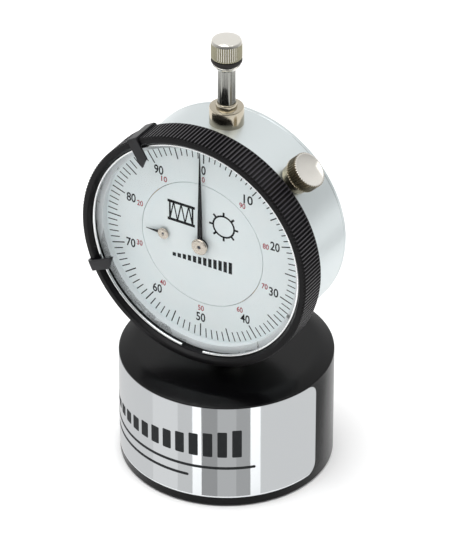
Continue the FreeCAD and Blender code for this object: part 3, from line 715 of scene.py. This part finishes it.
def stroke(start, end, width):
    # Flat stroke between two places on the dial.
    run = math.hypot(end[0] - start[0], end[1] - start[1])
    mark = flatSheet("stroke", run + width, width, (0, 0))
    mark.rotation_euler = (0, -math.atan2(end[1] - start[1], end[0] - start[0]), 0)
    onDial(mark, (start[0] + end[0]) / 2, (start[1] + end[1]) / 2, dial["ink"])
    return mark


def makeDialArt():
    marks = []
    # drum seen from the side: two hoops, a shell and its lacing
    left, right, low, high = -8.6, -2.2, 4.2, 8.9
    marks += [stroke((left, high), (right, high), 0.7), stroke((left, low), (right, low), 0.7)]
    for side in (left + 0.25, right - 0.25):
        marks.append(stroke((side, low), (side, high), 0.45))
    laces = 6
    step = (right - left - 0.5) / laces
    for number in range(laces):
        start = left + 0.25 + step * number
        ends = (low, high) if number % 2 == 0 else (high, low)
        marks.append(stroke((start, ends[0]), (start + step, ends[1]), art["line"]))
    # drum seen from above: a hoop with its tension lugs
    middle = (5.6, 6.5)
    lugs = 24
    for number in range(lugs):
        first = 2 * math.pi * number / lugs
        second = 2 * math.pi * (number + 1) / lugs
        marks.append(stroke((middle[0] + 2.7 * math.sin(first), middle[1] + 2.7 * math.cos(first)),
                            (middle[0] + 2.7 * math.sin(second), middle[1] + 2.7 * math.cos(second)), 0.42))
        if number % 3 == 0:
            ends = [(middle[0] + out * math.sin(first), middle[1] + out * math.cos(first))
                    for out in (2.9, 3.5)]
            marks.append(stroke(ends[0], ends[1], 0.5))
    for number in range(art["barCount"]):
        tall = art["barLeast"] + (art["barMost"] - art["barLeast"]) * number / (art["barCount"] - 1)
        bar = flatSheet("bar", art["barWidth"], tall, (0, tall / 2))
        onDial(bar, art["barLeft"] + art["barPitch"] * number, art["barBase"], dial["ink"])
        marks.append(bar)
    whole = joinAll(marks, "dial_centre_print")
    faceFront(whole)
    thicken(whole, dial["ink"])
    stand(whole, "stand", "ink", "dial_white")


makeDialArt()
print("dial centre printed")


hubShape = {"mainBevel": 0.2, "mainDot": 0.34, "smallBevel": 0.05, "smallDot": 0.26}


def makeHub(node, name, body, bevel, dot):
    low, high = boxMm(node)
    radius = (high.x - low.x) / 2
    centre = ((low.x + high.x) / 2 * mm, 0, (low.z + high.z) / 2 * mm)
    front, rear = low.y, high.y
    rings = [(dot, rear), (dot, front + bevel * 0.8), (dot * 1.4, front + bevel * 0.3),
             (dot * 2.4, front + bevel * 0.25),
             (radius - bevel * 1.6, front), (radius - bevel * 0.5, front + bevel * 0.25),
             (radius, front + bevel), (radius, rear)]
    hub = turned(name, rings, sides=96, tube=True, facing=True, centre=centre)
    settle(hub)
    tidyMesh(hub)
    stand(hub, body, "champagne", "hub_nickel", node)


makeHub("main_hand_hub", "main_hand_hub_turned", "centre_hand", hubShape["mainBevel"],
        hubShape["mainDot"])
makeHub("counter_hand_hub", "counter_hand_hub_turned", "small_hand", hubShape["smallBevel"],
        hubShape["smallDot"])


cap = {"ridges": 40, "depth": 0.2}


def makeCap():
    low, high = boxMm("lift_cap")
    radius = (high.x - low.x) / 2
    foot = boxMm("cap_o_ring")[1].z + 0.1
    flange = radius - 0.38
    rings = [(2.02, low.z), (2.3, low.z), (flange - 0.08, low.z + 0.8), (flange, low.z + 0.95),
             (flange, low.z + 1.22), (flange - 0.08, low.z + 1.3), (2.2, low.z + 1.3), (2.2, foot),
             (radius - 0.2, foot), (radius, foot + 0.2), (radius, foot + 0.28), (radius, high.z - 1.05),
             (radius, high.z - 0.95), (radius - 0.08, high.z - 0.75), (radius - 0.3, high.z - 0.42),
             (radius - 0.75, high.z - 0.22), (radius - 1.6, high.z - 0.08), (0.5, high.z)]
    piece = turned("lift_cap_knurled", rings, sides=cap["ridges"] * 4, knurl=(((10, 11), cap["depth"]),))
    tidyMesh(piece)
    piece.data.materials.append(finish["knurled"])
    piece.data.materials.append(finish["nickel"])
    for face in piece.data.polygons:
        out = math.hypot(face.center.x, face.center.y) / mm
        knurl = out > radius - 0.16 and foot < face.center.z / mm < high.z - 0.95
        face.material_index = 0 if knurl else 1
    rideOn(piece, "spindle", "cap_nickel", "lift_cap")


makeCap()


knob = {"ridges": 44, "depth": 0.28, "neck": 3.5, "neckLength": 2.4}


def makeKnob():
    joint = next(item for item in frame["joints"] if item["name"] == "brake_knob_turn")
    lean = math.degrees(math.atan2(joint["axis"][0], joint["axis"][2]))
    pivot = Vector(joint["pos_m"])
    line = Vector(joint["axis"]).normalized()
    spots = [((spot.co - pivot).dot(line), spot.co) for spot in frame["nodes"]["clamp_knob"].data.vertices]
    foot = min(far for far, place in spots) / mm
    top = max(far for far, place in spots) / mm
    radius = max(((place - pivot) - line * far).length for far, place in spots) / mm
    neck = knob["neck"]
    head = foot + knob["neckLength"]
    rings = [(1.25, foot), (neck - 0.2, foot), (neck, foot + 0.2), (neck, head), (radius - 0.2, head),
             (radius, head + 0.2), (radius, head + 0.3), (radius, top - 0.14), (radius - 0.1, top - 0.04),
             (radius - 0.3, top), (radius - 0.42, top), (radius - 0.55, top - 0.02),
             (radius - 0.7, top - 0.1), (0.5, top - 0.08)]
    knurl = (((6, 7), knob["depth"]), ((8,), knob["depth"] * 0.7))
    piece = turned("clamp_knob_knurled", rings, sides=knob["ridges"] * 4, knurl=knurl, tilt=lean,
                   centre=pivot)
    settle(piece)
    tidyMesh(piece)
    piece.data.materials.append(finish["knurledDull"])
    piece.data.materials.append(finish["nickel"])
    for face in piece.data.polygons:
        far = (face.center - pivot).dot(line) / mm
        out = ((face.center - pivot) - line * far * mm).length / mm
        knurl = (out > radius - 0.35 and head < far < top - 0.06) or far < head + 0.02
        face.material_index = 0 if knurl else 1
    rideOn(piece, "brake_knob", "clamp_nickel", "clamp_knob")


makeKnob()
print("knurled cap and knob made")


case = {"bore": 25.0, "ledgeBore": 19.0, "ledge": 1.7, "edge": 0.3, "coverEdge": 0.85}


def makeCase():
    low, high = boxMm("case_shell")
    radius = (high.x - low.x) / 2
    rings = [(case["bore"], low.y), (radius - case["edge"], low.y), (radius, low.y + case["edge"]),
             (radius, high.y - 0.12), (radius - 0.12, high.y), (case["ledgeBore"], high.y),
             (case["ledgeBore"], high.y - case["ledge"]), (case["bore"], high.y - case["ledge"])]
    shell = turned("case_shell_turned", rings, sides=256, tube=True, facing=True, centre=dialCentre)
    settle(shell)
    tidyMesh(shell)
    stand(shell, "stand", "case", "case_satin", "case_shell")
    low, high = boxMm("back_cover")
    edge = case["coverEdge"]
    rings = [(0.5, low.y), (radius - 0.12, low.y), (radius, low.y + 0.12)]
    rings += arc((radius - edge, high.y - edge), edge, 0, 90, 6) + [(0.5, high.y)]
    cover = turned("back_cover_turned", rings, sides=256, facing=True, centre=dialCentre)
    settle(cover)
    tidyMesh(cover)
    stand(cover, "stand", "case", "case_satin", "back_cover")


def makeGuide(node, name):
    low, high = boxMm(node)
    radius = (high.x - low.x) / 2
    inner = (boxMm("spindle_rack")[1].x - boxMm("spindle_rack")[0].x) / 2 + 0.04
    rings = [(inner, low.z), (radius, low.z), (radius, high.z - 0.3), (radius - 0.09, high.z - 0.09),
             (radius - 0.3, high.z), (inner + 0.1, high.z), (inner, high.z - 0.1)]
    guide = turned(name, rings, sides=128, tube=True)
    tidyMesh(guide)
    stand(guide, "stand", "agedNickel", "stem_nickel", node)


makeCase()
makeGuide("upper_bushing", "upper_bushing_turned")
makeGuide("spindle_wiper", "spindle_wiper_turned")

smoothed = (
    ("back_cover_screws", "stand", "zincSteel", "screw_steel"),
    ("stem_tube", "stand", "nickel", "stem_nickel"),
    ("foot_set_screw", "stand", "zincSteel", "screw_steel"),
    ("crystal", "bezel", "acrylic", "crystal_clear"),
    ("limit_marker_upper", "upper_marker", "blackOxide", "marker_black"),
    ("limit_marker_lower", "lower_marker", "blackOxide", "marker_black"),
    ("dial_scale_ring", "bezel", "dial", "dial_white"),
    ("dial_centre_disc", "stand", "dial", "dial_white"),
    ("spindle_rack", "spindle", "groundSteel", "spindle_steel"),
    ("cap_o_ring", "spindle", "rubber", "ring_rubber"),
    ("contact_rod", "spindle", "groundSteel", "spindle_steel"),
    ("contact_tip", "spindle", "groundSteel", "spindle_steel"),
    ("main_hand", "centre_hand", "handLacquer", "hand_black"),
    ("counter_hand", "small_hand", "handLacquer", "hand_black"),
    ("main_hand_collet", "centre_hand", "darkSteel", "arbor_steel"),
    ("counter_hand_collet", "small_hand", "darkSteel", "arbor_steel"),
    ("clamp_screw", "brake_knob", "zincSteel", "screw_steel"),
)
for node, body, material, slotName in smoothed:
    smoothCopy(node, body, material, slotName)

# movement pieces inside keep their CAD mesh and get the finish that the record names
slotFinish = {"guide_bronze": "bronze", "plate_brass": "brass", "gear_brass": "brass",
              "jewel_bronze": "bronze",
              "arbor_steel": "arborSteel", "spring_wire": "springSteel", "screw_steel": "zincSteel",
              "spindle_steel": "groundSteel", "stem_nickel": "nickel"}
slotOf = {entry["node"]: entry["material_slot"] for entry in frame["record"]["subparts"]}
for node, piece in frame["nodes"].items():
    if slotOf[node] in slotFinish:
        piece.data.materials.clear()
        piece.data.materials.append(finish[slotFinish[slotOf[node]]])
print("cad pieces finished")


studio = {"floorSize": 3.0, "bright": 1.0, "dark": 0.15, "key": 11.0, "fill": 3.0}


def makeFloor():
    deselectAll()
    bpy.ops.mesh.primitive_plane_add(size=studio["floorSize"], location=(0, 0, -0.0002))
    floor = bpy.context.object
    floor.name = "floor"
    floor.data.materials.append(newMaterial("whitePaperSweep", "#fafafa", Roughness=0.9))


def makeSky():
    # soft room: pale overhead and behind the object, dim on the side the camera looks from
    world = bpy.data.worlds.new("studio")
    bpy.context.scene.world = world
    world.use_nodes = True
    tree = world.node_tree
    where = tree.nodes.new("ShaderNodeTexCoord")
    lean = tree.nodes.new("ShaderNodeVectorMath")
    lean.operation = "DOT_PRODUCT"
    lean.inputs[1].default_value = (-0.38, 0.64, 0.8)
    climb = tree.nodes.new("ShaderNodeMapRange")
    climb.inputs["From Min"].default_value = -0.4
    climb.inputs["From Max"].default_value = 0.8
    climb.inputs["To Min"].default_value = studio["dark"]
    climb.inputs["To Max"].default_value = studio["bright"]
    tree.links.new(where.outputs["Generated"], lean.inputs[0])
    tree.links.new(lean.outputs["Value"], climb.inputs["Value"])
    tree.links.new(climb.outputs["Result"], tree.nodes["Background"].inputs["Strength"])
    tree.nodes["Background"].inputs["Color"].default_value = (1, 1, 1, 1)


def makeLamps():
    lamps = (("key", (-0.18, -0.3, 1.2), 1.2, studio["key"]),
             ("fill", (0.5, 0.1, 1.0), 0.9, studio["fill"]))
    for name, place, size, power in lamps:
        bpy.ops.object.light_add(type="AREA", location=place)
        lamp = bpy.context.object
        lamp.name = name
        lamp.data.size = size
        lamp.data.energy = power
        lamp.rotation_euler = (Vector((0, 0, 0.05)) - Vector(place)).to_track_quat("-Z", "Y").to_euler()


# glowing grey cards on the table that only reflections see: painted reflections on the bright metal,
# placed for the main view; they light nothing and cast no shadow. each: radius of the metal,
# first and last azimuth on it, near and far reach in mm, grey
cards = ((24.7, -85, -12, 3, 45, 0.68), (24.7, -12, 4, 3, 45, 0.78), (24.7, 4, 12.5, 3, 45, 0.64),
         (24.7, 17.5, 26, 3, 45, 0.34), (24.7, 26, 36, 3, 45, 0.50), (24.7, 36, 43.5, 3, 45, 0.40),
         (24.7, 49, 95, 3, 45, 0.70),
         (0, -59, -19, 131, 139, 0.42), (0, -19, 39, 133.5, 139, 0.02), (0, 49, 101, 131, 139, 0.45),
         (0, -59, -4, 139.5, 154, 0.75), (0, -4, 14, 139.5, 154, 0.2), (0, 14, 26, 139.5, 154, 0.3),
         (0, 26, 51, 139.5, 154, 0.04), (0, 51, 79, 139.5, 154, 0.4), (0, 79, 121, 139.5, 154, 0.25),
         (0, -59, 121, 154, 170, 0.38))


def makeCard(number, radius, first, last, near, far, grey):
    deselectAll()
    bpy.ops.mesh.primitive_plane_add(size=1, location=(0, 0, 0))
    card = bpy.context.object
    card.name = "card_%d" % number
    bpy.ops.object.mode_set(mode="EDIT")
    bpy.ops.mesh.select_all(action="SELECT")
    bpy.ops.mesh.subdivide(number_cuts=11)
    bpy.ops.object.mode_set(mode="OBJECT")
    lift = 0.0004 + 0.00002 * number
    for spot in card.data.vertices:
        turn = math.radians(first + (last - first) * (spot.co.x + 0.5))
        away = 2 * turn - math.radians(view["azimuth"])
        reach = (near + (far - near) * (spot.co.y + 0.5)) * mm
        across = radius * mm * math.sin(turn) + reach * math.sin(away)
        back = -radius * mm * math.cos(turn) - reach * math.cos(away)
        spot.co = Vector((across, back, lift))
    # the card glows with its set grey yet lights nothing and casts no shadow: a painted reflection
    card.visible_camera = False
    card.visible_diffuse = False
    card.visible_shadow = False
    material = newMaterial("card_%d" % number, "#000000", Roughness=1.0, Emission_Strength=1.0)
    shader = material.node_tree.nodes["Principled BSDF"]
    shader.inputs["Emission Color"].default_value = (grey, grey, grey, 1)
    card.data.materials.append(material)


makeFloor()
makeSky()
makeLamps()
for number, spec in enumerate(cards):
    makeCard(number, *spec)
bpy.context.scene.view_settings.view_transform = "Standard"
